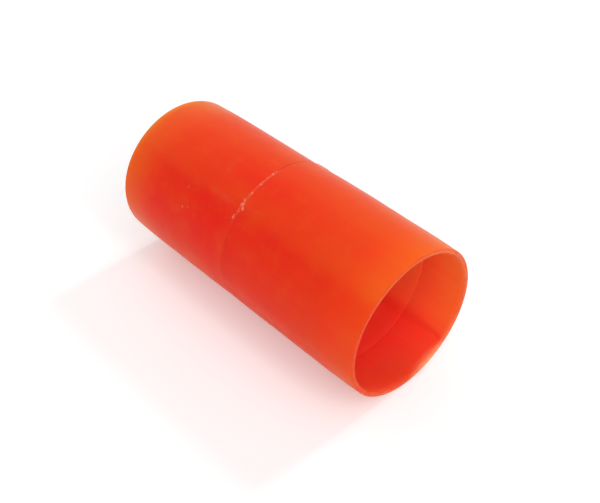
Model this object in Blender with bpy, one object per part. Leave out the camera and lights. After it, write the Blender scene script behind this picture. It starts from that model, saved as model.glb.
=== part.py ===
"""Plain straight coupling for 110 mm cable duct, lying on its side.

Two translucent plastic tube halves meet end to end at an off-centre joint. A thin sleeve
is bonded inside both of them across that joint, and its two ends are the steps that stop
the ducts. A trimmed bead of weld fills the groove along the outside of the joint.

The axis runs along X, the origin is at the middle of the length, and +Z is up.
"""

import math

import bmesh
import bpy

# Driving dimensions, in metres.
LENGTH = 0.2586
OUTER_RADIUS = 0.0605
WALL = 0.0048
LONG_HALF = 0.1358  # from the +X mouth to the joint
SOCKET_DEPTH = 0.0399  # how far a duct goes in before it meets the sleeve
SLEEVE_WALL = 0.0012
GAP = 0.0003  # left between pieces that touch on the real coupling

# The ends of each half are drawn in a little, as cut and moulded tube ends are.
MOUTH_DRAW = 0.0010  # outside
BORE_DRAW = 0.0004  # inside
MOUTH_REACH = SOCKET_DEPTH
JOINT_DRAW = 0.0003
JOINT_REACH = 0.030

# The lip of each mouth, and the ends of the sleeve.
LEAD_IN_RADIAL = 0.0022
LEAD_IN_AXIAL = 0.0030
OUTER_ROUNDING = 0.0006
SLEEVE_TAPER = 0.0007  # how much thinner the sleeve's wall is at its ends
SLEEVE_TAPER_LENGTH = 0.003

# The groove along the joint, and the bead in it.
GROOVE = 0.0015  # its depth, and its width on each half
BEAD_ROOT = 0.0002  # half the width of the bead's flat bottom edge
BEAD_SUNK = 0.0001  # how far the bead's edges lie below the surface
BEAD_PROUD = 0.0006  # how far its crown stands out where it is fullest
BEAD_FULLEST = math.radians(38.0)  # measured from the top towards +Y
BEAD_WAVES = ((17, 0.6, 0.5), (31, 2.1, 0.3), (53, 4.0, 0.2))  # count, phase, share
BEAD_RIPPLE = 0.35

SEGMENTS = 96
BEAD_SEGMENTS = 192
DRAW_STEPS = 4
LIP_STEPS = 4
SHARP_ANGLE = math.radians(35.0)

ORANGE_RED = (0.86, 0.075, 0.018)
DEEP_RED = (0.78, 0.042, 0.014)
PALE_ORANGE = (0.93, 0.20, 0.09)
GLOSS = 0.32
TRIMMED = 0.45

JOINT_X = LENGTH / 2 - LONG_HALF
BORE_RADIUS = OUTER_RADIUS - WALL
SLEEVE_OUTER = BORE_RADIUS - GAP
SLEEVE_INNER = SLEEVE_OUTER - SLEEVE_WALL
JOINT_RADIUS = OUTER_RADIUS - JOINT_DRAW


def remove_all_objects():
    for item in list(bpy.data.objects):
        bpy.data.objects.remove(item, do_unlink=True)


def plastic(name, colour, roughness):
    material = bpy.data.materials.new(name)
    material.use_nodes = True
    shader = material.node_tree.nodes["Principled BSDF"]
    shader.inputs["Base Color"].default_value = (*colour, 1.0)
    shader.inputs["Roughness"].default_value = roughness
    shader.inputs["Metallic"].default_value = 0.0
    return material


def drawn_in(distance, depth, reach):
    """How much smaller the radius is at this distance from an end that is drawn in."""
    return depth * max(0.0, 1.0 - distance / reach) ** 2


def quarter_round(centre, semi_axes, start, end):
    """Points along a quarter of an ellipse, as (x, radius), from one angle to another."""
    points = []
    for step in range(LIP_STEPS + 1):
        angle = start + (end - start) * step / LIP_STEPS
        points.append((
            centre[0] + semi_axes[0] * math.cos(angle),
            centre[1] + semi_axes[1] * math.sin(angle),
        ))
    return points


def half_outline(length):
    """The wall of one half as (distance from its mouth, radius), for a half of this length."""
    lip_outer = OUTER_RADIUS - drawn_in(OUTER_ROUNDING, MOUTH_DRAW, MOUTH_REACH)
    lip_inner = BORE_RADIUS - drawn_in(LEAD_IN_AXIAL, BORE_DRAW, MOUTH_REACH)
    end = length - GAP / 2

    # Outside, from the lip to the groove.
    points = quarter_round(
        (OUTER_ROUNDING, lip_outer - OUTER_ROUNDING),
        (OUTER_ROUNDING, OUTER_ROUNDING),
        math.pi,
        math.pi / 2,
    )
    for step in range(1, DRAW_STEPS + 1):
        distance = OUTER_ROUNDING + (MOUTH_REACH - OUTER_ROUNDING) * step / DRAW_STEPS
        points.append((distance, OUTER_RADIUS - drawn_in(distance, MOUTH_DRAW, MOUTH_REACH)))
    for step in range(DRAW_STEPS):
        left = JOINT_REACH + (GROOVE - JOINT_REACH) * step / (DRAW_STEPS - 1)
        points.append((length - left, OUTER_RADIUS - drawn_in(left, JOINT_DRAW, JOINT_REACH)))
    points.append((end, JOINT_RADIUS - GROOVE + GAP / 2))

    # Inside, from the joint back to the lip.
    points.append((end, BORE_RADIUS))
    for step in range(DRAW_STEPS):
        distance = MOUTH_REACH + (LEAD_IN_AXIAL - MOUTH_REACH) * step / DRAW_STEPS
        points.append((distance, BORE_RADIUS - drawn_in(distance, BORE_DRAW, MOUTH_REACH)))
    points += quarter_round(
        (LEAD_IN_AXIAL, lip_inner + LEAD_IN_RADIAL),
        (LEAD_IN_AXIAL, LEAD_IN_RADIAL),
        -math.pi / 2,
        -math.pi,
    )
    return points


def sleeve_outline():
    """The wall of the bridging sleeve as (x, radius), with its bore tapered at both ends."""
    end = LENGTH / 2 - SOCKET_DEPTH
    return [
        (-end, SLEEVE_OUTER),
        (end, SLEEVE_OUTER),
        (end, SLEEVE_INNER + SLEEVE_TAPER),
        (end - SLEEVE_TAPER_LENGTH, SLEEVE_INNER),
        (SLEEVE_TAPER_LENGTH - end, SLEEVE_INNER),
        (-end, SLEEVE_INNER + SLEEVE_TAPER),
    ]


def bead_outline():
    """The bead's section as (x, radius) with a flat top, which shape_bead() then crowns."""
    clearance = GAP * math.sqrt(2.0)  # along the radius, from a groove side at 45 degrees
    top = JOINT_RADIUS - BEAD_SUNK
    half_width = GROOVE - clearance - BEAD_SUNK
    root = top - (half_width - BEAD_ROOT)
    crown = [half_width * share for share in (1.0, 0.5, 0.0, -0.5, -1.0)]
    return [(JOINT_X + offset, top) for offset in crown] + [
        (JOINT_X - BEAD_ROOT, root),
        (JOINT_X + BEAD_ROOT, root),
    ]


def bead_height(angle):
    """How far the middle of the bead stands above its edges, at this angle from the top."""
    fullness = (0.5 + 0.5 * math.cos(angle - BEAD_FULLEST)) ** 2
    ripple = sum(share * math.sin(count * angle + phase) for count, phase, share in BEAD_WAVES)
    return (BEAD_PROUD + BEAD_SUNK) * fullness * (1.0 - BEAD_RIPPLE + BEAD_RIPPLE * ripple)


def shape_bead(bm):
    """Raises the bead's top from its edges to its middle, by bead_height()."""
    top = JOINT_RADIUS - BEAD_SUNK
    half_width = max(abs(vert.co.x - JOINT_X) for vert in bm.verts)
    for vert in bm.verts:
        radius = math.hypot(vert.co.y, vert.co.z)
        if abs(radius - top) > GAP / 10:
            continue
        across = (vert.co.x - JOINT_X) / half_width
        raised = radius + bead_height(math.atan2(vert.co.y, vert.co.z)) * (1.0 - across**2)
        vert.co.y *= raised / radius
        vert.co.z *= raised / radius


def turn(name, outline, material, segments=SEGMENTS, shape=None):
    """One closed solid turned about the X axis from a closed outline of (x, radius)."""
    half_step = math.pi / SEGMENTS  # puts a flat, not an edge, along the underside
    bm = bmesh.new()
    verts = [
        bm.verts.new((x, radius * math.sin(half_step), radius * math.cos(half_step)))
        for x, radius in outline
    ]
    edges = [bm.edges.new((verts[index - 1], vert)) for index, vert in enumerate(verts)]
    bmesh.ops.spin(
        bm,
        geom=verts + edges,
        cent=(0.0, 0.0, 0.0),
        axis=(1.0, 0.0, 0.0),
        angle=math.tau,
        steps=segments,
        use_merge=True,
    )
    bmesh.ops.recalc_face_normals(bm, faces=bm.faces)
    if shape is not None:
        shape(bm)
    mesh = bpy.data.meshes.new(name)
    bm.to_mesh(mesh)
    bm.free()
    mesh.materials.append(material)
    mesh.shade_smooth()
    mesh.set_sharp_from_angle(angle=SHARP_ANGLE)
    piece = bpy.data.objects.new(name, mesh)
    bpy.context.scene.collection.objects.link(piece)
    return piece


def build():
    remove_all_objects()
    coupling = bpy.data.objects.new("coupling", None)
    bpy.context.scene.collection.objects.link(coupling)

    near = [(LENGTH / 2 - distance, radius) for distance, radius in half_outline(LONG_HALF)]
    far = [
        (distance - LENGTH / 2, radius)
        for distance, radius in half_outline(LENGTH - LONG_HALF)
    ]
    pieces = [
        turn("near_half", near, plastic("near_shell", ORANGE_RED, GLOSS)),
        turn("far_half", far, plastic("far_shell", ORANGE_RED, GLOSS)),
        turn("inner_sleeve", sleeve_outline(), plastic("sleeve", DEEP_RED, GLOSS)),
        turn(
            "seam_bead",
            bead_outline(),
            plastic("bead", PALE_ORANGE, TRIMMED),
            segments=BEAD_SEGMENTS,
            shape=shape_bead,
        ),
    ]
    for piece in pieces:
        piece.parent = coupling


build()
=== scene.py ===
"""The looks of the straight duct coupling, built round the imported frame.

Each of its four pieces is remade as a finer mesh of the same size, in translucent
orange-red plastic that glows a lighter orange where only one wall is in the light's way.
"""

import math

import bpy
import numpy as np
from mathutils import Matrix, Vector


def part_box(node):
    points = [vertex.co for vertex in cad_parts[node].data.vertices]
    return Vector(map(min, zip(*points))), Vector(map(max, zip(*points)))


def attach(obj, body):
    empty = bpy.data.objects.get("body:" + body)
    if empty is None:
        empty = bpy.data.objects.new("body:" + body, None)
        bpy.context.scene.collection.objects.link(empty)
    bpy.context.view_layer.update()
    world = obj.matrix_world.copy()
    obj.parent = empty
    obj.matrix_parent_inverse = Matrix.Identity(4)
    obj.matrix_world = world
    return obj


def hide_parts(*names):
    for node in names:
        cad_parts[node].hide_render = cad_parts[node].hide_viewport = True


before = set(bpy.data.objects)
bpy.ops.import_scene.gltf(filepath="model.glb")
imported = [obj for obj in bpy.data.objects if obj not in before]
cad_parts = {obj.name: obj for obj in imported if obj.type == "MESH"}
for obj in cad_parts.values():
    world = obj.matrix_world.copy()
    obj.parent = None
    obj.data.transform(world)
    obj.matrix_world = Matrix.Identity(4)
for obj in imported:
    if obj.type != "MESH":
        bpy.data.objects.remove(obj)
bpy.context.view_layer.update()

MM = 0.001
WHITE = (1.0, 1.0, 1.0, 1.0)


# ---------------------------------------------------------------- sizes from the frame

NEAR_LOW, NEAR_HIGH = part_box("near_half")
FAR_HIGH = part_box("far_half")[1]
SLEEVE_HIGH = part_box("inner_sleeve")[1]

RADIUS = (NEAR_HIGH.z - NEAR_LOW.z) / 2
MOUTH_X = NEAR_HIGH.x  # the far mouth is at minus this
JOINT_X = (NEAR_LOW.x + FAR_HIGH.x) / 2
SLEEVE_END = SLEEVE_HIGH.x
SOCKET_DEPTH = MOUTH_X - SLEEVE_END

# The same sections as the CAD pieces have, apart from rounder and less drawn-in lips.
WALL = 4.8 * MM
SLEEVE_WALL = 1.2 * MM
MOUTH_DRAW = 0.9 * MM  # outside
BORE_DRAW = 0.4 * MM  # inside
JOINT_DRAW = 0.3 * MM
JOINT_REACH = 30.0 * MM
LEAD_IN_RADIAL = 2.2 * MM
LEAD_IN_AXIAL = 3.0 * MM
OUTER_ROUNDING = 1.0 * MM
SLEEVE_TAPER = 0.7 * MM  # how much thinner its wall is at its ends
SLEEVE_TAPER_LENGTH = 3.0 * MM
BORE = RADIUS - WALL
MIDDLE_OF_WALL = BORE + WALL / 2
LIP_CROWN = BORE + 0.75 * WALL
JOINT_RADIUS = RADIUS - JOINT_DRAW

# What is closed up here, where the CAD leaves 0.3 mm between pieces that touch.
FINE_GAP = 0.03 * MM
JOINT_EDGE = 0.5 * MM  # the broken edge of each half along the joint


# ---------------------------------------------------------------- turned meshes

AROUND = 288  # steps round the tube
ALONG = 64  # steps along a wall
LIP_STEPS = 10
CREASE_ANGLE = math.radians(32.0)  # an edge that turns more than this stays sharp

# The slow unevenness of the walls, as (waves in a metre along x, waves round, phase).
WAVES = ((9.0, 2, 0.4), (17.0, 3, 2.2), (26.0, -4, 4.1), (5.0, -5, 1.3), (33.0, 1, 5.2))
WAVE_HEIGHT = 0.15 * MM


def smooth(value):
    """The value held between 0 and 1, and eased at both."""
    value = np.clip(value, 0.0, 1.0)
    return value * value * (3.0 - 2.0 * value)


def spaced(start, end, steps):
    """Evenly spaced values after start, up to and including end."""
    return [start + (end - start) * step / steps for step in range(1, steps + 1)]


def quarter_round(centre, semi_axes, start, end):
    """Points along a quarter of an ellipse, as (x, radius), from one angle to another."""
    return [
        (centre[0] + semi_axes[0] * math.cos(angle), centre[1] + semi_axes[1] * math.sin(angle))
        for angle in [start] + spaced(start, end, LIP_STEPS)
    ]


def waviness(x, angle):
    """The slow unevenness of a tube that has cooled, between 0 and 1."""
    total = 0.0
    for per_metre, turns, phase in WAVES:
        total = total + np.cos(math.tau * per_metre * x + turns * angle + phase)
    return 0.5 + 0.5 * total / len(WAVES)


def new_piece(name, verts, faces):
    """A smooth-shaded mesh object with creases where it turns sharply."""
    mesh = bpy.data.meshes.new(name)
    mesh.from_pydata(verts, [], faces)
    mesh.validate()
    mesh.update()
    mesh.shade_smooth()
    mesh.set_sharp_from_angle(angle=CREASE_ANGLE)
    piece = bpy.data.objects.new(name, mesh)
    bpy.context.scene.collection.objects.link(piece)
    return piece


def turned(name, outline, around=AROUND, wave=0.0, shape=None):
    """A closed mesh object turned about the X axis from a closed outline of (x, radius)."""
    section = np.array(outline)
    count = len(section)
    angle = np.arange(around) * math.tau / around
    x = np.repeat(section[None, :, 0], around, axis=0)
    radius = np.repeat(section[None, :, 1], around, axis=0)
    turn = np.repeat(angle[:, None], count, axis=1)
    radius = radius - wave * waviness(x, turn)
    if shape is not None:
        x, radius = shape(x, radius, turn)
    verts = np.stack([x, radius * np.sin(turn), radius * np.cos(turn)], axis=-1)
    here = np.arange(count)
    after = (here + 1) % count
    faces = []
    for ring in range(around):
        first = ring * count
        second = (ring + 1) % around * count
        quads = [first + here, second + here, second + after, first + after]
        faces += np.stack(quads, axis=-1).tolist()
    return new_piece(name, verts.reshape(-1, 3).tolist(), faces)


# ---------------------------------------------------------------- the two halves and the sleeve

# The edges along the joint are melted together at the front, by this share of their depth.
JOINT_CLOSED = 0.96
CLOSING_REACH = math.radians(3.0)

# Where the longer half stands out a little at the top at the back, as (height, middle along x,
# reach along x, middle and reach round the tube in degrees): a long bulge, as plastic has that
# has sagged, and a short ridge at the joint.
BULGES = (
    (0.6 * MM, JOINT_X + 43.0 * MM, 60.0 * MM, 45.0, 43.0),
    (0.75 * MM, JOINT_X + 3.0 * MM, 8.5 * MM, 46.0, 26.0),
)

# The joint wanders towards the far mouth at the top at the back.
JOINT_WANDER = 2.0 * MM
WANDER_MIDDLE = math.radians(30.0)
WANDER_REACH = math.radians(45.0)


def drawn_in(distance, depth, reach):
    """How much smaller the radius is at this distance from an end that is drawn in."""
    return depth * max(0.0, 1.0 - distance / reach) ** 2


def half_outline(length):
    """The wall of one half as (distance from its mouth, radius)."""
    lip_outer = RADIUS - drawn_in(OUTER_ROUNDING, MOUTH_DRAW, SOCKET_DEPTH)
    lip_inner = BORE - drawn_in(LEAD_IN_AXIAL, BORE_DRAW, SOCKET_DEPTH)
    end = length - FINE_GAP / 2
    points = quarter_round(
        (OUTER_ROUNDING, lip_outer - OUTER_ROUNDING),
        (OUTER_ROUNDING, OUTER_ROUNDING),
        math.pi,
        math.pi / 2,
    )
    for distance in spaced(OUTER_ROUNDING, length - JOINT_EDGE, ALONG):
        radius = RADIUS - drawn_in(distance, MOUTH_DRAW, SOCKET_DEPTH)
        points.append((distance, radius - drawn_in(length - distance, JOINT_DRAW, JOINT_REACH)))
    points.append((end, JOINT_RADIUS - JOINT_EDGE))
    points.append((end, BORE))
    for distance in spaced(end, LEAD_IN_AXIAL, ALONG)[:-1]:
        points.append((distance, BORE - drawn_in(distance, BORE_DRAW, SOCKET_DEPTH)))
    points += quarter_round(
        (LEAD_IN_AXIAL, lip_inner + LEAD_IN_RADIAL),
        (LEAD_IN_AXIAL, LEAD_IN_RADIAL),
        -math.pi / 2,
        -math.pi,
    )
    return points


def sleeve_outline():
    """The wall of the bridging sleeve as (x, radius)."""
    outer = BORE - FINE_GAP
    inner = outer - SLEEVE_WALL
    flat = SLEEVE_END - SLEEVE_TAPER_LENGTH
    points = [(x, outer) for x in [-SLEEVE_END] + spaced(-SLEEVE_END, SLEEVE_END, ALONG)]
    points.append((SLEEVE_END, inner + SLEEVE_TAPER))
    points += [(x, inner) for x in [flat] + spaced(flat, -flat, ALONG)]
    points.append((-SLEEVE_END, inner + SLEEVE_TAPER))
    return points


def turned_angle(angle):
    """The angle from the top towards +Y, brought to between minus pi and pi."""
    return (angle + math.pi) % math.tau - math.pi


def bulge(x, angle):
    """How far the outside of the longer half stands out from a true cylinder."""
    total = 0.0
    for height, middle, reach, degrees, degrees_reach in BULGES:
        turn = turned_angle(angle) - math.radians(degrees)
        around = smooth(1.0 - np.abs(turn) / math.radians(degrees_reach))
        total = total + height * around * smooth(1.0 - np.abs(x - middle) / reach)
    return np.where(x > JOINT_X, total, 0.0)


def wander(angle):
    """How far the joint lies from its plane, along x."""
    away = np.abs(turned_angle(angle) - WANDER_MIDDLE)
    return -JOINT_WANDER * smooth(1.0 - away / WANDER_REACH)


def behind(angle):
    """One round the back, where the broken edges of the joint show, and nothing at the front."""
    turn = turned_angle(angle)
    return smooth(turn / CLOSING_REACH) * smooth((math.pi - turn) / CLOSING_REACH)


def shape_shell(x, radius, turn):
    """Closes the joint's broken edges at the front, bulges the longer half, and bends the joint."""
    outer = radius > MIDDLE_OF_WALL
    edge = outer & (np.abs(x - JOINT_X) < FINE_GAP)
    closed = JOINT_EDGE * JOINT_CLOSED * (1.0 - behind(turn))
    raised = np.where(edge, closed, 0.0) + np.where(outer, bulge(x, turn), 0.0)
    bent = wander(turn) * smooth(1.0 - np.abs(x - JOINT_X) / JOINT_REACH)
    return x + bent, radius + raised


# ---------------------------------------------------------------- the weld bead

# The bead stands proud on a stretch round the top at the back, and was trimmed back or
# lies below the surface on the rest of the way.
PROUD_HEIGHT = 0.2 * MM
PROUD_MIDDLE = math.radians(42.0)
PROUD_REACH = math.radians(34.0)
PROUD_SHIFT = 0.7 * MM  # towards the near mouth
SUNK_DEPTH = 0.25 * MM
BEAD_WIDE = 1.1 * MM  # half of its width
BEAD_NARROW = 0.4 * MM
BEAD_FOOT = 0.7 * MM  # how deep its root lies below the surface
BEAD_EDGE = 0.1 * MM  # how deep its two edges lie
BEAD_STEPS = 6
BEAD_AROUND = 1800

# Ripples along the bead, as the number of each round the tube, strongest first.
RIPPLES = (37, 61, 97, 151, 233)
RIPPLE_SHARE = 0.08  # of its height
RIPPLE_PHASE = 0.3  # of the first one
RIPPLE_TURN = 1.7  # by how much the phase of the later ones grows, times their place squared
RIPPLE_FALL = 0.25  # by how much the later ones are weaker
RIPPLE_LEVEL = 0.6  # what their sum is divided by, for each of them


def bead_outline():
    """The bead's section: a crown of even points over a root between the two halves."""
    across = [1.0] + spaced(1.0, -1.0, BEAD_STEPS)
    crown = [(JOINT_X + BEAD_WIDE * share, JOINT_RADIUS) for share in across]
    return crown + [(JOINT_X, JOINT_RADIUS - BEAD_FOOT)]


def rippled(angle):
    """The bead's unevenness along its length, between about -1 and 1."""
    total = 0.0
    for step, count in enumerate(RIPPLES):
        phase = RIPPLE_PHASE + RIPPLE_TURN * step * step
        total = total + np.sin(count * angle + phase) / (1.0 + RIPPLE_FALL * step)
    return total / (RIPPLE_LEVEL * len(RIPPLES))


def surface_radius(x, angle):
    """The radius of the shells' outer surface close to the joint."""
    left = JOINT_REACH - np.abs(x - JOINT_X)
    plain = RADIUS - JOINT_DRAW * (left / JOINT_REACH) ** 2
    return plain - WAVE_HEIGHT * waviness(x, angle) + bulge(x, angle)


def shape_bead(x, radius, turn):
    """Widens and raises the bead where it stands proud, sinks the rest, and bends it."""
    proud = smooth(1.0 - np.abs(turned_angle(turn) - PROUD_MIDDLE) / PROUD_REACH)
    height = PROUD_HEIGHT * proud * (1.0 + RIPPLE_SHARE * rippled(turn))
    height = height - SUNK_DEPTH * (1.0 - proud)
    half_width = BEAD_NARROW + (BEAD_WIDE - BEAD_NARROW) * proud
    across = (x - JOINT_X) / BEAD_WIDE
    x = JOINT_X + across * half_width + PROUD_SHIFT * proud
    crown = surface_radius(x, turn) - BEAD_EDGE + (height + BEAD_EDGE) * (1.0 - across**2)
    radius = np.where(radius > JOINT_RADIUS - BEAD_FOOT / 2, crown, radius)
    return x + wander(turn), radius


# ---------------------------------------------------------------- a short way to write nodes

RANGE = ("Value", "From Min", "From Max", "To Min", "To Max")
MIX_SHARE, MIX_FIRST, MIX_SECOND, MIXED = 0, 6, 7, 2  # the Mix node's sockets for colours
# Where the bore's colours give way to those of the outside, as radii.
SKIN = BORE + 0.3 * WALL, BORE + 0.7 * WALL


class Nodes:
    """The nodes of a material or a world."""

    def __init__(self, owner):
        owner.use_nodes = True
        self.owner = owner
        self.tree = owner.node_tree

    def fill(self, node, values):
        """Links each input to its socket, or sets it to its number or colour."""
        for key, value in values.items():
            if isinstance(value, bpy.types.NodeSocket):
                self.tree.links.new(value, node.inputs[key])
            else:
                node.inputs[key].default_value = value

    def make(self, kind, values=(), **settings):
        node = self.tree.nodes.new(kind)
        for key, value in settings.items():
            setattr(node, key, value)
        self.fill(node, dict(values))
        return node

    def maths(self, operation, *values):
        return self.make("ShaderNodeMath", enumerate(values), operation=operation).outputs[0]

    def plus(self, first, second):
        return self.maths("ADD", first, second)

    def minus(self, first, second):
        return self.maths("SUBTRACT", first, second)

    def larger(self, first, second):
        return self.maths("MAXIMUM", first, second)

    def share_of(self, part, whole):
        return self.maths("DIVIDE", part, whole)

    def times(self, first, *others):
        for other in others:
            first = self.maths("MULTIPLY", first, other)
        return first

    def away(self, value, middle):
        """How far the value is from the middle, on either side."""
        return self.maths("ABSOLUTE", self.minus(value, middle))

    def hypotenuse(self, first, second):
        squares = self.plus(self.times(first, first), self.times(second, second))
        return self.maths("SQRT", squares)

    def between(self, value, low, high, to_low=0.0, to_high=1.0):
        """The value carried smoothly from one range to another, and held at its ends."""
        values = zip(RANGE, (value, low, high, to_low, to_high))
        return self.make("ShaderNodeMapRange", values, interpolation_type="SMOOTHSTEP").outputs[0]

    def fading(self, value, low, high, full=1.0):
        """Full at the low end, falling smoothly to nothing at the high one."""
        return self.between(value, low, high, full, 0.0)

    def bump_at(self, value, middle, reach):
        """One at the middle, falling smoothly to nothing at this reach on both sides."""
        return self.fading(self.away(value, middle), 0.0, reach)

    def blend(self, share, first, second):
        """The first colour turned towards the second by this share."""
        values = {MIX_SHARE: share, MIX_FIRST: first, MIX_SECOND: second}
        return self.make("ShaderNodeMix", values, data_type="RGBA").outputs[MIXED]

    def tint(self, colour, other, *shares):
        """The colour turned towards another by the product of these shares."""
        return self.blend(self.times(*shares), colour, other)


class TubeNodes(Nodes):
    """The nodes of one of the tube's materials, which know where on the tube a point is."""

    def __init__(self, name):
        super().__init__(bpy.data.materials.new(name))
        self.where = self.make("ShaderNodeTexCoord").outputs["Object"]
        self.x, y, z = self.make("ShaderNodeSeparateXYZ", {0: self.where}).outputs
        self.angle = self.maths("ARCTAN2", y, z)  # from the top towards +Y
        whole_turn = {"Value": self.angle, "From Min": -math.pi, "From Max": math.pi}
        self.turn = self.make("ShaderNodeMapRange", whole_turn).outputs[0]
        self.radius = self.hypotenuse(y, z)
        self.from_mouth = self.minus(MOUTH_X, self.maths("ABSOLUTE", self.x))
        self.glow = self.fading(self.from_mouth, 0.0, SOCKET_DEPTH)  # of a single wall
        self.outside = self.between(self.radius, *SKIN)
        self.inside = self.minus(1.0, self.outside)

    def noise(self, scale, detail, roughness):
        """Noise all over the tube. Its scale is one number, or one for each axis."""
        where = self.where
        if isinstance(scale, tuple):
            where = self.make("ShaderNodeMapping", {"Vector": where, "Scale": scale}).outputs[0]
            scale = 1.0
        values = {"Vector": where, "Scale": scale, "Detail": detail, "Roughness": roughness}
        return self.make("ShaderNodeTexNoise", values).outputs[0]

    def patches(self, scale, detail, roughness, low, high):
        """Patches of noise, from nothing at its low level to full at its high one."""
        return self.between(self.noise(scale, detail, roughness), low, high)

    def profile(self, stops):
        """A share that follows (degrees, share) stops smoothly round the tube."""
        node = self.make("ShaderNodeValToRGB", {0: self.turn})
        node.color_ramp.interpolation = "EASE"
        points = node.color_ramp.elements
        places = [(degrees + 180.0) / 360.0 for degrees, _ in stops]
        for place in places[1:-1]:
            points.new(place)
        for point, place, (_, share) in zip(points, places, stops):
            point.position = place
            point.color = (share, share, share, 1.0)
        return node.outputs[0]


# ---------------------------------------------------------------- the plastic's colours

# Its colours in the shade and in the light, painted for how the light falls on it. The first of
# each pair is the shaded one and the second is the lit one: in the middle of the outside, at its
# open ends, in the bore and at the mouths of the bore. The shaded middle colour also gives the
# redder streaks, and the lit end colour gives the paler patches.
DEEP_AND_SHADED_MIDDLE, LIT_MIDDLE = (0.950, 0.022, 0.0130, 1.0), (0.995, 0.080, 0.0120, 1.0)
SHADED_END, PALER_AND_LIT_END = (0.915, 0.056, 0.0140, 1.0), (0.945, 0.173, 0.0165, 1.0)
SHADED_BORE, LIT_BORE = (0.995, 0.053, 0.0330, 1.0), (0.995, 0.138, 0.0420, 1.0)
SHADED_MOUTH, LIT_MOUTH = (0.995, 0.076, 0.0310, 1.0), (0.995, 0.210, 0.0400, 1.0)
LIT_SLEEVE = (0.995, 0.150, 0.0420, 1.0)
# Painted shade for the shadow edge in the bore, beside the joint and at the sleeve's end, and dirt
# with painted shade in the joint's crease.
SHADE_AND_GRIME = (0.70, 0.018, 0.008, 1.0)
WORN = (0.99, 0.19, 0.05, 1.0)
LIP_HIGHLIGHT = (1.00, 0.31, 0.15, 1.0)
LIP_SHADE = (0.50, 0.060, 0.016, 1.0)
FAR_EDGE = (1.00, 0.36, 0.030, 1.0)
TORN_AND_GLINT = (1.00, 0.38, 0.24, 1.0)
PALE_AND_HIGHLIGHT = (1.00, 0.26, 0.16, 1.0)

# How far painted light turns the colour from the shaded one to the lit one, round the outside and
# the bore, as (degrees from the top, share). Positive degrees are towards +Y.
LIT_OUTSIDE = (
    (-180, 0.6), (-112, 0.56), (-90, 0.20), (-73, 0.04), (-48, 0.0), (-37, 0.53),
    (-28, 0.49), (-18, 0.37), (-8, 0.43), (6, 0.70), (22, 0.90), (40, 1.0), (180, 0.6),
)
LIT_INSIDE = (
    (-180, 0.05), (-50, 0.0), (-35, 1.0), (100, 1.0), (124, 0.75), (142, 0.05), (180, 0.05),
)
# How much more painted light there is at the near mouth, and how much there is at least at the far
# one.
LIT_NEAR = (
    (-180, 0.0), (-110, 0.0), (-90, 0.1), (-62, 0.2), (-50, 0.32), (-30, 0.38), (-10, 0.45),
    (5, 0.2), (16, 0.0), (180, 0.0),
)
LIT_FAR = 0.56
# How far in from each mouth the wall is painted more orange, for light that comes through the
# single wall, and by what share at the near mouth.
NEAR_GLOW, NEAR_GLOW_SHARE = 1.6 * RADIUS, 0.42
LIP_GLOW, LIP_GLOW_SHARE = 0.5 * RADIUS, 0.40
FAR_GLOW = 0.8 * RADIUS

# A pattern of noise, here and below, is (scale for a metre, detail, roughness), and then the
# two levels between which it comes in, if it comes in patches.
CLOUDS, CLOUD_SHARE = ((12.0, 20.0, 20.0), 1.5, 0.5, 0.3, 0.7), 0.14
BLOTCHES, BLOTCH_SHARE = (75.0, 3.0, 0.6, 0.45, 0.7), 0.12
STREAKS, STREAK_SHARE = ((3.0, 110.0, 110.0), 2.0, 0.5, 0.35, 0.65), 0.10

# A painted shadow edge along the inside of the wall, with a painted lit line beside it near the
# mouth.
SHADOW_EDGE_ANGLE = math.radians(136.0)
SHADOW_EDGE_HALF_WIDTHS = math.radians(2.5), math.radians(8.0)  # at the mouth and at the sleeve
SHADOW_EDGE_CURL, SHADOW_EDGE_CURL_DEPTH = math.radians(2.5), 9.0 * MM  # how it bends aside at the lip
SHADOW_EDGE_SHARE = 0.32
LIT_LINE_OFFSET = math.radians(5.0)  # from it to a paler line beside it, near the mouth
LIT_LINE_DEPTHS, LIT_LINE_SHARE = (2.0 * MM, 20.0 * MM), 0.10

# How strongly painted shade on the longer half and a paler band on the other show beside the joint,
# as (degrees from the top, share).
BESIDE_JOINT = ((-180, 0.3), (-110, 0.8), (-90, 1.0), (-66, 0.9), (-50, 0.3), (-40, 0.0), (180, 0.3))
JOINT_SHADE_SHARE, JOINT_SHADE_REACH = 0.26, 20.0 * MM
PALER_SHARE, PALER_REACH = 0.10, 14.0 * MM

# The edge of the far mouth glows more yellow, as (degrees from the top, share).
FAR_EDGE_REACH = 7.0 * MM
FAR_EDGE_SHARE = (
    (-180, 0.25), (-100, 0.12), (-70, 0.12), (-40, 0.38), (-20, 0.50), (30, 0.50), (60, 0.30),
    (180, 0.25),
)


def outside_colour(n):
    """Red in the middle, with painted light: more orange at the open ends, where light comes
    through a single wall, and on the lit side.
    """
    near = n.plus(
        n.between(n.x, MOUTH_X - NEAR_GLOW, MOUTH_X, 0.0, NEAR_GLOW_SHARE),
        n.between(n.x, MOUTH_X - LIP_GLOW, MOUTH_X, 0.0, LIP_GLOW_SHARE),
    )
    far = n.fading(n.x, -MOUTH_X, FAR_GLOW - MOUTH_X)
    lit = n.larger(n.profile(LIT_OUTSIDE), n.times(far, LIT_FAR))
    lit = n.plus(lit, n.times(near, n.profile(LIT_NEAR)))
    middle = n.blend(lit, DEEP_AND_SHADED_MIDDLE, LIT_MIDDLE)
    end = n.blend(lit, SHADED_END, PALER_AND_LIT_END)
    return n.blend(n.plus(near, far), middle, end)


def bore_colour(n, lit_bore):
    """Red, with painted light: more orange towards the mouths, where light comes through a single
    wall, and on the lit side.
    """
    lit = n.profile(LIT_INSIDE)
    bore = n.blend(lit, SHADED_BORE, lit_bore)
    mouth = n.blend(lit, SHADED_MOUTH, LIT_MOUTH)
    return n.blend(n.glow, bore, mouth)


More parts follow.
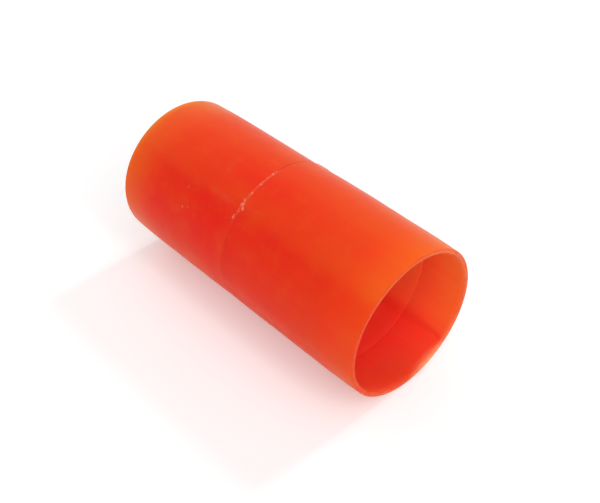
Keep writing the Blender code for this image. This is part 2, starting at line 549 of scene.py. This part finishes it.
def clouded(n, colour):
    """Adds broad clouds and small blotches that have faded, and redder streaks along the tube."""
    colour = n.tint(colour, PALER_AND_LIT_END, n.patches(*CLOUDS), n.outside, CLOUD_SHARE)
    colour = n.tint(colour, PALER_AND_LIT_END, n.patches(*BLOTCHES), n.outside, BLOTCH_SHARE)
    return n.tint(colour, DEEP_AND_SHADED_MIDDLE, n.patches(*STREAKS), STREAK_SHARE)


def painted_shadow_edge(n, colour):
    """Paints the shadow edge along the inside of the wall, and the lit line beside it."""
    middle = n.between(n.from_mouth, 0.0, SHADOW_EDGE_CURL_DEPTH, SHADOW_EDGE_ANGLE + SHADOW_EDGE_CURL, SHADOW_EDGE_ANGLE)
    half_width = n.between(n.from_mouth, 0.0, SOCKET_DEPTH, *SHADOW_EDGE_HALF_WIDTHS)
    shadow_edge = n.fading(n.share_of(n.away(n.angle, middle), half_width), 0.0, 1.0)
    # Painted shade along the shadow edge.
    colour = n.tint(colour, SHADE_AND_GRIME, shadow_edge, n.inside, SHADOW_EDGE_SHARE)
    # A painted lit line beside the shadow edge, near the mouth.
    lit_line = n.bump_at(n.angle, SHADOW_EDGE_ANGLE - LIT_LINE_OFFSET, LIT_LINE_OFFSET)
    near_mouth = n.fading(n.from_mouth, *LIT_LINE_DEPTHS)
    return n.tint(colour, PALE_AND_HIGHLIGHT, lit_line, near_mouth, n.inside, LIT_LINE_SHARE)


def shade_and_pale_beside_joint(n, colour):
    """Paints shade on the longer half close to the joint and pales the other, on the lower front.
    """
    low = n.times(n.profile(BESIDE_JOINT), n.outside)
    far_side = n.maths("LESS_THAN", n.x, JOINT_X)
    near_side = n.minus(1.0, far_side)
    joint_shade = n.fading(n.x, JOINT_X, JOINT_X + JOINT_SHADE_REACH, JOINT_SHADE_SHARE)
    paler = n.between(n.x, JOINT_X - PALER_REACH, JOINT_X, 0.0, PALER_SHARE)
    colour = n.tint(colour, SHADE_AND_GRIME, joint_shade, near_side, low)
    return n.tint(colour, PALER_AND_LIT_END, paler, far_side, low)


def glowing_far_edge(n, colour):
    """Turns the edge of the far mouth more yellow."""
    edge = n.fading(n.x, -MOUTH_X, FAR_EDGE_REACH - MOUTH_X)
    return n.tint(colour, FAR_EDGE, edge, n.outside, n.profile(FAR_EDGE_SHARE))


# ---------------------------------------------------------------- dirt and wear

# Dirt and painted shade in the joint at the back, where they lie on the far side of the proud bead.
CREASE_SHIFT = 0.5 * MM
CREASE_REACH = 1.0 * MM
CREASE_START = math.radians(-8.0), math.radians(2.0)  # where the dirt comes in
DIRT_AND_SHADE, DIRT_AND_SHADE_SHARE = (160.0, 2.0, 0.5, 0.25, 0.5), 0.6

# Pale rubs and painted highlights along the outside, as (first x, last x, angle, half width,
# strength), in mm and degrees. The two by -40 and -37 degrees, along the edge of the lit side, and
# the one at 42 degrees, on the ridge at the joint, are painted highlights. The width is measured
# round the tube.
RUBS_AND_HIGHLIGHTS = (
    (-46.0, -8.0, -40.0, 4.0, 0.20),
    (-2.0, 18.0, -37.0, 3.5, 0.14),
    (-30.0, 40.0, 118.0, 3.0, 0.16),
    (60.0, 118.0, -158.0, 4.0, 0.16),
    (-110.0, -70.0, 76.0, 3.4, 0.18),
    (-8.5, 6.0, 42.0, 8.0, 0.9),
)
RUB_GRAIN = ((120.0, 500.0, 500.0), 2.0, 0.5, 0.3, 0.7)

# A faint shade at the end of the sleeve: the depths between which it comes in and goes out,
# and the angles from the top between which it goes out.
STEP_RISE = SOCKET_DEPTH - 1.0 * MM, SOCKET_DEPTH
STEP_FALL = SOCKET_DEPTH + 0.2 * MM, SOCKET_DEPTH + 1.2 * MM
STEP_ROUND = math.radians(125.0), math.radians(145.0)
STEP_SHARE = 0.05

# Where pale flecks, torn plastic with painted glints, lie thickly along the trimmed bead, as (x
# from the joint, angle, half width, half length round the tube, share), in mm and degrees.
TORN_AND_GLINT_SPOTS = (
    (0.1, -6.6, 1.5, 2.3, 1.3),
    (0.4, -12.5, 1.2, 2.6, 0.7),
    (0.5, -18.7, 1.6, 2.9, 1.1),
    (0.3, -27.8, 1.3, 2.8, 0.9),
    (-0.8, -34.0, 2.2, 2.5, 1.0),
    (0.4, -37.5, 2.4, 2.6, 1.1),
    (2.4, -39.9, 1.8, 2.4, 1.3),
    (0.2, -42.5, 1.8, 2.6, 0.8),
    (-1.3, -48.1, 1.6, 2.6, 1.1),
)
TORN_AND_GLINT_SPOT_EDGE = 0.2, 1.2  # shares of its half width, from where it is full to where it ends
# How thickly they lie, and how strongly a soft pale line shows, all along it, as (degrees from
# the top, share).
TORN_AND_GLINT_ALONG = ((-180, 0.0), (-54, 0.0), (-50, 0.5), (-5, 0.6), (1, 0.0), (180, 0.0))
PALE_LINE = ((-180, 0.0), (-60, 0.0), (-48, 0.10), (-20, 0.17), (-4, 0.15), (2, 0.0), (180, 0.0))
TORN_AND_GLINT_HALF_WIDTH = 1.3 * MM
TORN_AND_GLINT_FULL = 0.3  # the share of that up to which they lie at their thickest
PALE_HALF_WIDTH = 2.2 * MM
TORN_AND_GLINT_SHARE = 0.72  # how far the colour is turned where they are

# A fleck shows where its grain is above a level, which is lower where they lie more thickly.
FLECK_GRAIN = (720.0, 4.0, 0.68)
FLECK_LEVEL, FLECK_DROP = 0.68, 0.24
FLECK_EDGE = -0.04, 0.10
FLECK_THIN = 0.15  # the thickness below which they fade out

# Scars on the outside, most of them small, as (x, angle, size, strength), in mm and degrees. The
# large one at 39 degrees is a painted highlight on the ridge at the joint.
SCARS_AND_HIGHLIGHT = (
    (-57.2, -64.0, 1.4, 1.0),
    (-51.8, -62.0, 1.0, 0.6),
    (-59.1, -49.0, 1.3, 0.55),
    (-38.5, -22.0, 0.8, 0.35),
    (-3.5, 39.0, 8.0, 0.8),
    (31.0, 96.0, 1.1, 0.5),
    (-84.0, 171.0, 1.2, 0.5),
    (77.0, -141.0, 1.0, 0.5),
)
SCAR_GRAIN, SCAR_RAGGED = (1100.0, 2.0, 0.5), 2.0 * MM

# The lip, and how far it reaches along the outside.
LIP_OUTSIDE = 1.2 * MM
LIP_FULL = 0.2  # the share of its reach up to which it counts in full
# How far painted shade turns the lip's colour deeper, as (degrees from the top, share).
LIP_SHADED = ((-180, 0.6), (30, 0.6), (50, 0.8), (110, 0.8), (130, 0.6), (180, 0.6))
LIP_WEAR, LIP_WEAR_SHARE = (240.0, 2.0, 0.5, 0.45, 0.75), 0.25
# How strongly a highlight is painted on the lip round the mouths, as (degrees from the top, share).
LIP_HIGHLIGHTED = (
    (-180, 0.12), (-150, 0.14), (-128, 0.06), (-100, 0.0), (0, 0.02), (32, 0.15), (62, 0.20),
    (112, 0.20), (134, 0.30), (146, 0.80), (160, 0.80), (170, 0.42), (180, 0.12),
)
# A painted highlight inside the lip.
HIGHLIGHT_MIDDLE, HIGHLIGHT_REACH = math.radians(156.0), math.radians(19.0)
HIGHLIGHT_DEPTHS, HIGHLIGHT_SHARE = (2.8 * MM, 7.0 * MM), 0.5


def dirt_and_shade_in_joint(n, colour):
    """Adds patches of dirt and painted shade in the crease along the joint at the back."""
    proud = n.bump_at(n.angle, PROUD_MIDDLE, PROUD_REACH)
    bent = n.bump_at(n.angle, WANDER_MIDDLE, WANDER_REACH)
    shift = n.plus(n.times(proud, -CREASE_SHIFT), n.times(bent, -JOINT_WANDER))
    crease = n.bump_at(n.minus(n.x, shift), JOINT_X, CREASE_REACH)
    at_back = n.between(n.angle, *CREASE_START)
    return n.tint(colour, SHADE_AND_GRIME, crease, n.outside, at_back, n.patches(*DIRT_AND_SHADE), DIRT_AND_SHADE_SHARE)


def rubs_and_highlights(n):
    """How far the rubs and the painted highlights have paled the surface, broken up along their
    length.
    """
    broken = n.patches(*RUB_GRAIN)
    total = 0.0
    for first, last, degrees, half_width, strength in RUBS_AND_HIGHLIGHTS:
        along = n.bump_at(n.x, (first + last) / 2 * MM, (last - first) / 2 * MM)
        across = n.bump_at(n.angle, math.radians(degrees), half_width * MM / RADIUS)
        total = n.plus(total, n.times(along, across, broken, strength))
    return total


def shaded_step(n, colour):
    """Adds the shade at the end of the sleeve, all round but the lowest part."""
    rise = n.between(n.from_mouth, *STEP_RISE)
    fall = n.fading(n.from_mouth, *STEP_FALL)
    upper = n.fading(n.maths("ABSOLUTE", n.angle), *STEP_ROUND)
    return n.tint(colour, SHADE_AND_GRIME, rise, fall, n.inside, upper, STEP_SHARE)


def torn_and_glint_thickness(n, away):
    """How thickly the pale flecks, torn plastic with painted glints, lie along the trimmed bead, at
    this distance from the joint.
    """
    across = n.fading(n.share_of(away, TORN_AND_GLINT_HALF_WIDTH), TORN_AND_GLINT_FULL, 1.0)
    thickness = n.times(n.profile(TORN_AND_GLINT_ALONG), across)
    for along, degrees, half_width, half_length, share in TORN_AND_GLINT_SPOTS:
        away_x = n.minus(n.x, JOINT_X + along * MM)
        away_round = n.minus(n.angle, math.radians(degrees))
        out = n.hypotenuse(
            n.times(away_x, 1.0 / (half_width * MM)),
            n.times(away_round, 1.0 / math.radians(half_length)),
        )
        thickness = n.larger(thickness, n.fading(out, *TORN_AND_GLINT_SPOT_EDGE, share))
    return thickness


def torn_and_glinting_flecks(n):
    """Pale flecks along the trimmed bead, torn plastic with painted glints, over a soft pale line.
    """
    away = n.away(n.x, JOINT_X)
    thickness = torn_and_glint_thickness(n, away)
    level = n.minus(FLECK_LEVEL, n.times(thickness, FLECK_DROP))
    fleck = n.between(n.minus(n.noise(*FLECK_GRAIN), level), *FLECK_EDGE)
    fleck = n.times(fleck, n.between(thickness, 0.0, FLECK_THIN))
    line = n.times(n.fading(away, 0.0, PALE_HALF_WIDTH), n.profile(PALE_LINE))
    return n.larger(fleck, line)


def scars_and_highlight(n):
    """How far the scars and the painted highlight have paled the surface."""
    ragged = n.times(n.minus(n.noise(*SCAR_GRAIN), 0.5), SCAR_RAGGED)
    total = 0.0
    for along, degrees, size, strength in SCARS_AND_HIGHLIGHT:
        away_x = n.minus(n.x, along * MM)
        away_round = n.times(n.minus(n.angle, math.radians(degrees)), RADIUS)
        away = n.plus(n.hypotenuse(away_x, away_round), ragged)
        total = n.plus(total, n.fading(away, 0.0, size * MM, strength))
    return total


def lip_share(n):
    """One at each mouth, falling to nothing where the lip's rounding ends."""
    reach = n.between(n.radius, BORE + LEAD_IN_RADIAL, LIP_CROWN, LEAD_IN_AXIAL, LIP_OUTSIDE)
    return n.fading(n.share_of(n.from_mouth, reach), LIP_FULL, 1.0)


def lip_shade_wear_and_highlight(n, colour, lip):
    """Paints shade on the lip, adds its worn patches, and paints a highlight on it."""
    colour = n.tint(colour, LIP_SHADE, lip, n.profile(LIP_SHADED))
    colour = n.tint(colour, WORN, lip, n.patches(*LIP_WEAR), LIP_WEAR_SHARE)
    return n.tint(colour, LIP_HIGHLIGHT, lip, n.profile(LIP_HIGHLIGHTED))


def highlighted_mouth(n, colour):
    """Paints the highlight inside the lip."""
    around = n.bump_at(n.angle, HIGHLIGHT_MIDDLE, HIGHLIGHT_REACH)
    depth = n.fading(n.from_mouth, *HIGHLIGHT_DEPTHS)
    return n.tint(colour, LIP_HIGHLIGHT, around, depth, n.inside, HIGHLIGHT_SHARE)


# ---------------------------------------------------------------- the plastic

GLOSS_NOISE, GLOSS_LEVELS = (45.0, 1.0, 0.5), (0.3, 0.7)
GLOSS = 0.28, 0.34  # the least and the most roughness
LIP_POLISH = 0.06  # how much smoother the lip is
SCRATCHES = ((60.0, 1500.0, 1500.0), 2.0, 0.5)
SCRATCH_STRENGTH, SCRATCH_DEPTH = 0.3, 0.01 * MM
FLECK_STRENGTH, FLECK_HEIGHT = 0.25, 0.15 * MM

PLASTIC_IOR = 1.5
SPECULAR_LEVEL = 0.06
SCATTERING = (1.0, 0.30, 0.15)  # how far red, green and blue light go, as shares of the depth
# How far light goes through the plastic where the sleeve backs it, and where the wall is single,
# from this share of the glow on.
BACKED_DEPTH, SINGLE_DEPTH = 2.0 * MM, 8.0 * MM
SINGLE_GLOW = 0.5
SLEEVE_DEPTH = 0.35 * MM
# The flecks on the joint are opaque, and so the light goes less deep there.
OPAQUE_REACH, OPAQUE_SHARE = 4.0 * MM, 0.9


def roughness(n, lip):
    """A little uneven, and smoother on the lip."""
    rough = n.between(n.noise(*GLOSS_NOISE), *GLOSS_LEVELS, *GLOSS)
    return n.minus(rough, n.times(lip, LIP_POLISH))


def relief(n, torn_and_glints):
    """Fine scratches along the tube, and flecks that stand up from it."""
    scratches = n.make("ShaderNodeBump", {
        "Height": n.noise(*SCRATCHES),
        "Strength": SCRATCH_STRENGTH,
        "Distance": SCRATCH_DEPTH,
    })
    flecks = n.make("ShaderNodeBump", {
        "Height": torn_and_glints,
        "Strength": FLECK_STRENGTH,
        "Distance": FLECK_HEIGHT,
        "Normal": scratches.outputs[0],
    })
    return flecks.outputs[0]


def translucent_plastic(name, lit_bore, backed_depth, single_depth):
    """Glossy, translucent plastic: red, and more orange at the open ends and on the lit side, with
    light and shade painted into its colour.
    """
    n = TubeNodes(name)
    torn_and_glints = n.larger(torn_and_glinting_flecks(n), scars_and_highlight(n))
    lip = lip_share(n)

    colour = n.blend(n.inside, outside_colour(n), bore_colour(n, lit_bore))
    colour = clouded(n, colour)
    colour = painted_shadow_edge(n, colour)
    colour = shade_and_pale_beside_joint(n, colour)
    colour = dirt_and_shade_in_joint(n, colour)
    # Pale rubs, and painted highlights along the edge of the lit side and on the ridge at the
    # joint.
    colour = n.tint(colour, PALE_AND_HIGHLIGHT, rubs_and_highlights(n), n.outside)
    colour = shaded_step(n, colour)
    # Pale torn flecks with painted glints along the trimmed bead, and the scars with the painted
    # highlight on the ridge.
    colour = n.tint(colour, TORN_AND_GLINT, torn_and_glints, n.outside, TORN_AND_GLINT_SHARE)
    colour = lip_shade_wear_and_highlight(n, colour, lip)
    colour = glowing_far_edge(n, colour)
    colour = highlighted_mouth(n, colour)

    depth = n.between(n.glow, 0.0, SINGLE_GLOW, backed_depth, single_depth)
    opaque = n.times(n.bump_at(n.x, JOINT_X, OPAQUE_REACH), OPAQUE_SHARE)
    n.fill(n.tree.nodes["Principled BSDF"], {
        "Base Color": colour,
        "Roughness": roughness(n, lip),
        "Normal": relief(n, torn_and_glints),
        "IOR": PLASTIC_IOR,
        "Specular IOR Level": SPECULAR_LEVEL,
        "Subsurface Weight": 1.0,
        "Subsurface Radius": SCATTERING,
        "Subsurface Scale": n.times(depth, n.minus(1.0, opaque)),
    })
    return n.owner


# ---------------------------------------------------------------- the pieces

def put_in_place(piece, node, material):
    """Gives a piece its material, and lets it stand for its CAD node."""
    piece.data.materials.append(material)
    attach(piece, "root")
    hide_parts(node)


def build_coupling():
    """The four pieces, where the CAD has them."""
    near = [(MOUTH_X - d, r) for d, r in half_outline(MOUTH_X - JOINT_X)]
    far = [(d - MOUTH_X, r) for d, r in reversed(half_outline(MOUTH_X + JOINT_X))]
    near_shell = turned("near_shell", near, wave=WAVE_HEIGHT, shape=shape_shell)
    far_shell = turned("far_shell", far, wave=WAVE_HEIGHT, shape=shape_shell)
    bridging_sleeve = turned("bridging_sleeve", sleeve_outline(), wave=WAVE_HEIGHT)
    weld_bead = turned("weld_bead", bead_outline(), BEAD_AROUND, shape=shape_bead)

    shell = translucent_plastic("shell_plastic", LIT_BORE, BACKED_DEPTH, SINGLE_DEPTH)
    sleeve = translucent_plastic("sleeve_plastic", LIT_SLEEVE, SLEEVE_DEPTH, SLEEVE_DEPTH)
    put_in_place(near_shell, "near_half", shell)
    put_in_place(far_shell, "far_half", shell)
    put_in_place(bridging_sleeve, "inner_sleeve", sleeve)
    put_in_place(weld_bead, "seam_bead", shell)


# ---------------------------------------------------------------- floor, light and camera

# Azimuths are turned from +X towards +Y. They and the elevations are in degrees.
CAMERA_AZIMUTH, CAMERA_ELEVATION = -42.85, 40.25
CAMERA_DISTANCE = 12.09 * RADIUS
CAMERA_AIM = Vector((0.2003, 0.041, -0.1266)) * RADIUS
CAMERA_LENS = 57.16  # mm

FLOOR_REACH = 6.0  # m, to each side
FLOOR_COLOUR = (0.85, 0.85, 0.85, 1.0)
FLOOR_ROUGHNESS = 0.9
FLOOR_LIFT = 0.20  # added to how bright the floor looks, and not to the light that it gives
FLOOR_GLOW = 0.08  # added to both

# Soft glows in the surroundings, as (azimuth, elevation, strength).
GLOWS = (
    (-45.0, 12.0, 1.72),
    (0.0, 45.0, 1.1),
    (0.0, 88.0, 0.77),
    (135.0, 12.0, 0.67),
    (180.0, 12.0, 1.37),
    (90.0, 12.0, 0.2),
    (-90.0, 52.0, 0.15),
)
GLOW_WIDTH = math.radians(45.0)  # from the middle of a glow to where it ends

# A weak sun from behind, and a strip beyond the near mouth.
KEY_DIRECTION = Vector((0.0, 0.73, 0.68))
KEY_STRENGTH, KEY_WIDTH = 0.75, math.radians(10.0)
STRIP_DIRECTION = Vector((0.81, -0.06, 0.59))
STRIP_DISTANCE, STRIP_SIZE, STRIP_POWER = 1.3, (0.8, 0.12), 2.3


def direction(azimuth, elevation):
    """A unit vector from an azimuth and an elevation in degrees."""
    azimuth, elevation = math.radians(azimuth), math.radians(elevation)
    level = math.cos(elevation)
    return Vector((level * math.cos(azimuth), level * math.sin(azimuth), math.sin(elevation)))


def put_facing(name, data, location, back, up):
    """A camera or a light at a place, with its back turned this way."""
    thing = bpy.data.objects.new(name, data)
    thing.location = location
    thing.rotation_mode = "QUATERNION"
    thing.rotation_quaternion = back.to_track_quat("Z", up)
    bpy.context.scene.collection.objects.link(thing)
    return thing


def build_floor():
    """A plain pale floor under the coupling, which looks brighter than it lights."""
    mesh = bpy.data.meshes.new("floor")
    corners = [(-1, -1), (1, -1), (1, 1), (-1, 1)]
    verts = [(x * FLOOR_REACH, y * FLOOR_REACH, -RADIUS) for x, y in corners]
    mesh.from_pydata(verts, [], [(0, 1, 2, 3)])
    floor = bpy.data.objects.new("floor", mesh)
    bpy.context.scene.collection.objects.link(floor)
    n = Nodes(bpy.data.materials.new("pale_floor"))
    seen = n.make("ShaderNodeLightPath").outputs["Is Camera Ray"]
    n.fill(n.tree.nodes["Principled BSDF"], {
        "Base Color": FLOOR_COLOUR,
        "Roughness": FLOOR_ROUGHNESS,
        "Specular IOR Level": 0.0,
        "Emission Color": WHITE,
        "Emission Strength": n.plus(n.times(seen, FLOOR_LIFT), FLOOR_GLOW),
    })
    mesh.materials.append(n.owner)


def build_surroundings():
    """Broad soft glows all round."""
    n = Nodes(bpy.data.worlds.new("studio"))
    way = n.make("ShaderNodeTexCoord").outputs["Generated"]
    total = 0.0
    for azimuth, elevation, strength in GLOWS:
        both = {0: way, 1: direction(azimuth, elevation)}
        facing = n.make("ShaderNodeVectorMath", both, operation="DOT_PRODUCT").outputs["Value"]
        total = n.plus(total, n.between(facing, math.cos(GLOW_WIDTH), 1.0, 0.0, strength))
    n.fill(n.tree.nodes["Background"], {"Strength": total, "Color": WHITE})
    bpy.context.scene.world = n.owner


def build_lights():
    """A soft key from behind and a narrow strip beyond the near mouth."""
    key = bpy.data.lights.new("key", "SUN")
    key.energy = KEY_STRENGTH
    key.angle = KEY_WIDTH
    put_facing("key", key, Vector(), KEY_DIRECTION, "X")
    strip = bpy.data.lights.new("strip", "AREA")
    strip.shape = "RECTANGLE"
    strip.size, strip.size_y = STRIP_SIZE
    strip.energy = STRIP_POWER
    place = STRIP_DIRECTION.normalized() * STRIP_DISTANCE
    put_facing("strip", strip, place, STRIP_DIRECTION, "X")


def place_camera():
    """The camera, at the photograph's angle and distance."""
    data = bpy.data.cameras.new("camera")
    data.lens = CAMERA_LENS
    back = direction(CAMERA_AZIMUTH, CAMERA_ELEVATION)
    place = CAMERA_AIM + back * CAMERA_DISTANCE
    bpy.context.scene.camera = put_facing("camera", data, place, back, "Y")


build_coupling()
build_floor()
build_surroundings()
build_lights()
place_camera()
bpy.context.scene.view_settings.view_transform = "Standard"
